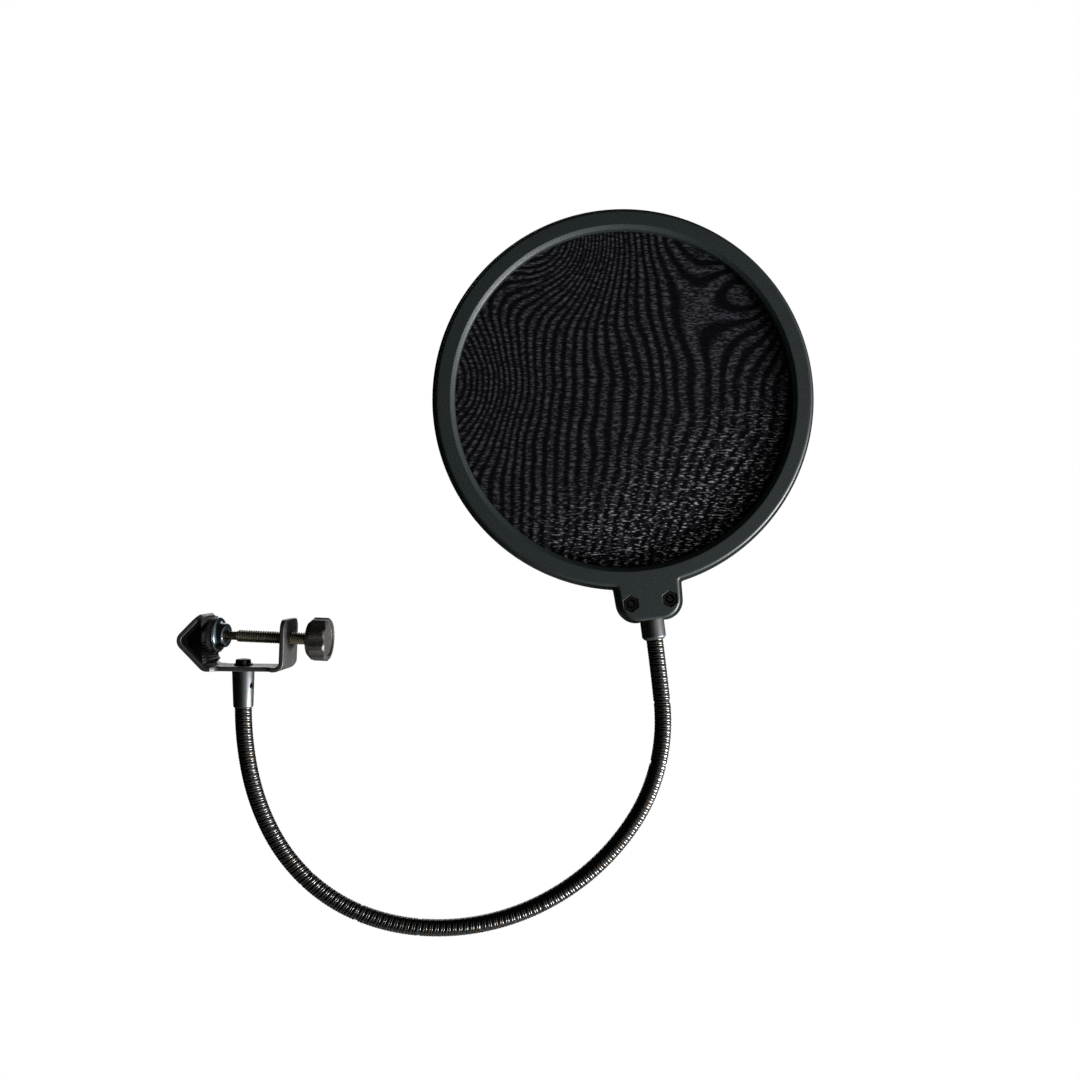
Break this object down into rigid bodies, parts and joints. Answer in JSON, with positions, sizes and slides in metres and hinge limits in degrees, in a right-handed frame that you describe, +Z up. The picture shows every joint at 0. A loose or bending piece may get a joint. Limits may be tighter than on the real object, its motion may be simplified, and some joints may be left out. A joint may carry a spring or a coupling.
{
  "type": "pop filter",
  "caption": "Clamp-on pop filter: round two-layer nylon screen in a plastic hoop, on a bendable metal neck with a V-jaw screw clamp.",
  "frame": {"origin": "where the two rubber faces of the clamp's V jaw would meet, halfway along the jaw, 1.8 mm behind the flat in its corner", "axes": "+Z up, along the swivel bolt; the screen faces -Y and the neck at rest lies in a plane parallel to XZ; +X points from the jaw toward the screen, and the clamp is turned 5.5 degrees about +Z from it"},
  "size_m": [0.2602, 0.0246, 0.2993],
  "materials": {
    "hoop_plastic": "black moulded plastic with a fine spark texture, satin",
    "knob_plastic": "black moulded plastic, satin",
    "screen_nylon": "black woven nylon, open mesh",
    "neck_steel": "black-nickel plated spring wire, glossy",
    "ferrule_steel": "black-nickel plated, polished",
    "bracket_steel": "black coated steel strap, satin",
    "grip_rubber": "black rubber, matte",
    "screw_steel": "oiled steel, dark",
    "fastener_steel": "black-oxide steel, satin"
  },
  "bodies": {
    "clamp": {"clamp_bracket": "bracket_steel", "jaw_liner": "grip_rubber"},
    "screw_tip": {"ball_tip": "screw_steel"},
    "pad": {"pad_shoe": "ferrule_steel", "pad_face": "grip_rubber"},
    "screw": {"clamp_screw": "screw_steel", "knob": "knob_plastic"},
    "swivel": {"pivot_bolt": "fastener_steel", "pivot_washer": "fastener_steel", "bottom_ferrule": "ferrule_steel", "grub_screw": "fastener_steel", "neck_01": "neck_steel"},
    "section_02": {"neck_02": "neck_steel"},
    "section_03": {"neck_03": "neck_steel"},
    "section_04": {"neck_04": "neck_steel"},
    "section_05": {"neck_05": "neck_steel"},
    "section_06": {"neck_06": "neck_steel"},
    "section_07": {"neck_07": "neck_steel"},
    "section_08": {"neck_08": "neck_steel"},
    "section_09": {"neck_09": "neck_steel"},
    "section_10": {"neck_10": "neck_steel"},
    "section_11": {"neck_11": "neck_steel"},
    "head": {"neck_12": "neck_steel", "top_ferrule": "ferrule_steel", "front_hoop": "hoop_plastic", "rear_hoop": "hoop_plastic", "front_screen": "screen_nylon", "rear_screen": "screen_nylon", "spacer_ring": "hoop_plastic", "tab_screws": "fastener_steel", "tab_nuts": "fastener_steel"}
  },
  "joints": [
    {"name": "screw_feed", "type": "slide", "parent": "clamp", "child": "screw_tip", "axis": [0.9948, -0.0958, -0.0349], "range_m": [0, 0.024]},
    {"name": "screw_turn", "type": "hinge", "parent": "screw_tip", "child": "screw", "pos_m": [0.01314, -0.00127, 0.00169], "axis": [0.9948, -0.0958, -0.0349], "range_deg": [0, 8640]},
    {"name": "pad_tilt", "type": "hinge", "parent": "screw_tip", "child": "pad", "pos_m": [0.01314, -0.00127, 0.00169], "axis": [0.0347, -0.0033, 0.9994], "range_deg": [-4, 18]},
    {"name": "neck_swivel", "type": "hinge", "parent": "clamp", "child": "swivel", "pos_m": [0.0214, -0.00206, -0.02015], "axis": [0, 0, 1], "range_deg": [-180, 180]},
    {"name": "neck_bend_01", "type": "hinge", "parent": "swivel", "child": "section_02", "pos_m": [0.02387, -0.00206, -0.05344], "axis": [0, -1, 0], "range_deg": [-20, 4]},
    {"name": "neck_bend_02", "type": "hinge", "parent": "section_02", "child": "section_03", "pos_m": [0.03214, -0.00206, -0.0778], "axis": [0, -1, 0], "range_deg": [-20, 4]},
    {"name": "neck_side_03", "type": "hinge", "parent": "section_03", "child": "section_04", "pos_m": [0.04741, -0.00206, -0.09843], "axis": [0.6884, 0, 0.7254], "range_deg": [-20, 20]},
    {"name": "neck_bend_04", "type": "hinge", "parent": "section_04", "child": "section_05", "pos_m": [0.06892, -0.00206, -0.11241], "axis": [0, -1, 0], "range_deg": [-20, 4]},
    {"name": "neck_bend_05", "type": "hinge", "parent": "section_05", "child": "section_06", "pos_m": [0.09391, -0.00206, -0.1184], "axis": [0, -1, 0], "range_deg": [-20, 4]},
    {"name": "neck_side_06", "type": "hinge", "parent": "section_06", "child": "section_07", "pos_m": [0.11959, -0.00206, -0.11695], "axis": [-0.1908, 0, 0.9816], "range_deg": [-20, 20]},
    {"name": "neck_bend_07", "type": "hinge", "parent": "section_07", "child": "section_08", "pos_m": [0.14394, -0.00206, -0.10868], "axis": [0, -1, 0], "range_deg": [-20, 4]},
    {"name": "neck_bend_08", "type": "hinge", "parent": "section_08", "child": "section_09", "pos_m": [0.16527, -0.00206, -0.09429], "axis": [0, -1, 0], "range_deg": [-20, 4]},
    {"name": "neck_side_09", "type": "hinge", "parent": "section_09", "child": "section_10", "pos_m": [0.18206, -0.00206, -0.07481], "axis": [-0.8387, 0, 0.5446], "range_deg": [-20, 20]},
    {"name": "neck_bend_10", "type": "hinge", "parent": "section_10", "child": "section_11", "pos_m": [0.19209, -0.00206, -0.05118], "axis": [0, -1, 0], "range_deg": [-20, 4]},
    {"name": "neck_bend_11", "type": "hinge", "parent": "section_11", "child": "head", "pos_m": [0.19366, -0.00206, -0.02554], "axis": [0, -1, 0], "range_deg": [-20, 4]}
  ],
  "couplings": [
    {"joint": "screw_turn", "follows": "screw_feed", "rad_per_m": 6283.2}
  ]
}
